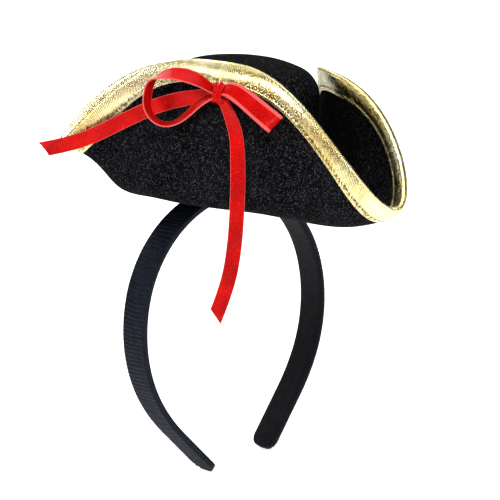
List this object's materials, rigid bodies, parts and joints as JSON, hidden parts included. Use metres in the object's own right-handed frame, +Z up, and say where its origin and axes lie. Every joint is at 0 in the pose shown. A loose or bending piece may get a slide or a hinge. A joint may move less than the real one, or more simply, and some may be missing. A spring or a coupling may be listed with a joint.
{
  "type": "pirate hat headband",
  "caption": "Small black felt tricorn hat with a metallic edge binding and a ribbon bow, glued to a cloth-covered sprung headband.",
  "frame": {"origin": "centre of the headband's top arc, at mid width: the middle of the head it grips", "axes": "+Z up through the top of the arc, +X to the wearer's left, -Y forward"},
  "size_m": [0.1568, 0.1633, 0.2082],
  "materials": {
    "band_plastic": "moulded",
    "band_satin": "satin",
    "band_lining": "woven",
    "black_felt": "needle felt",
    "buckram": "stiffened",
    "glue": "clear",
    "gold_cloth": "metallic",
    "black_thread": "matte",
    "red_thread": "matte",
    "red_ribbon": "satin"
  },
  "bodies": {
    "hat": {"band_core_top": "band_plastic", "band_cover_top": "band_satin", "band_lining_top": "band_lining", "base_disc": "black_felt", "glue_beads": "glue", "crown_shell": "black_felt", "crown_stiffener": "buckram", "brim_back": "black_felt", "brim_front": "black_felt", "brim_left": "black_felt", "brim_binding": "gold_cloth", "bow_knot": "red_ribbon", "bow_loop_left": "red_ribbon", "bow_loop_right": "red_ribbon", "bow_tack": "red_thread", "ribbon_tail_hanging": "red_ribbon", "ribbon_tail_side": "red_ribbon"},
    "leg_left": {"band_core_left": "band_plastic", "band_cover_left": "band_satin", "band_lining_left": "band_lining"},
    "leg_right": {"band_core_right": "band_plastic", "band_cover_right": "band_satin", "band_lining_right": "band_lining"}
  },
  "joints": [
    {"name": "leg_left_flex", "type": "hinge", "parent": "hat", "child": "leg_left", "pos_m": [0.05121, 0, 0.02723], "axis": [0, -1, 0], "range_deg": [-5, 20], "stiffness_Nm_per_rad": 0.8},
    {"name": "leg_right_flex", "type": "hinge", "parent": "hat", "child": "leg_right", "pos_m": [-0.05121, 0, 0.02723], "axis": [0, 1, 0], "range_deg": [-5, 20], "stiffness_Nm_per_rad": 0.8}
  ]
}
